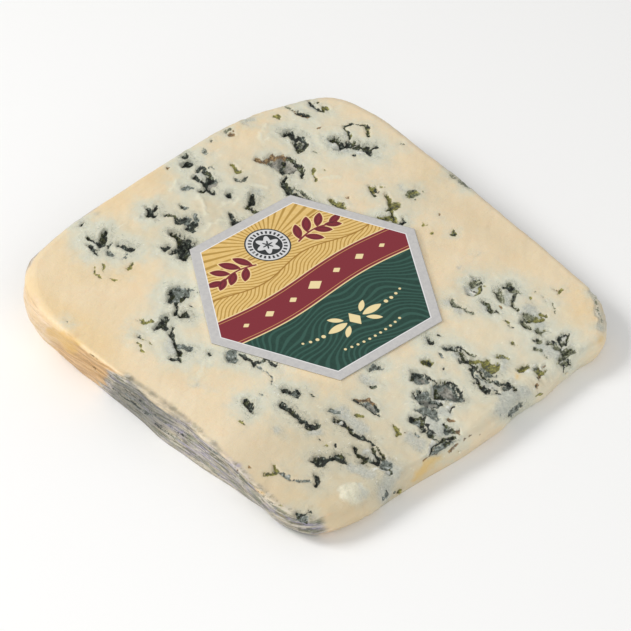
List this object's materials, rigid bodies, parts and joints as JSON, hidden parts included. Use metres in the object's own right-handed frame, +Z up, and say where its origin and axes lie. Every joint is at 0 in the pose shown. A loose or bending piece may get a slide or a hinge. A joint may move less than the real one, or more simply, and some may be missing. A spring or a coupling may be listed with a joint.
{
  "type": "blue cheese portion",
  "caption": "Flat wedge-shaped portion of veined blue cheese lying on one cut face, thicker towards its rim, with a six-sided label on its upper face.",
  "frame": {"origin": "on the flat base, under the middle of the bounding box", "axes": "+X along the thin edge, +Y from the thin edge towards the thick rim, +Z up"},
  "size_m": [0.1062, 0.108, 0.0159],
  "materials": {
    "cheese": "soft moist cream paste with dark blue-green veins and a grey rind",
    "label_paper": "printed label, satin, gold and dark green with a silver-grey border"
  },
  "bodies": {
    "root": {"cheese_wedge": "cheese", "label": "label_paper"}
  },
  "joints": []
}
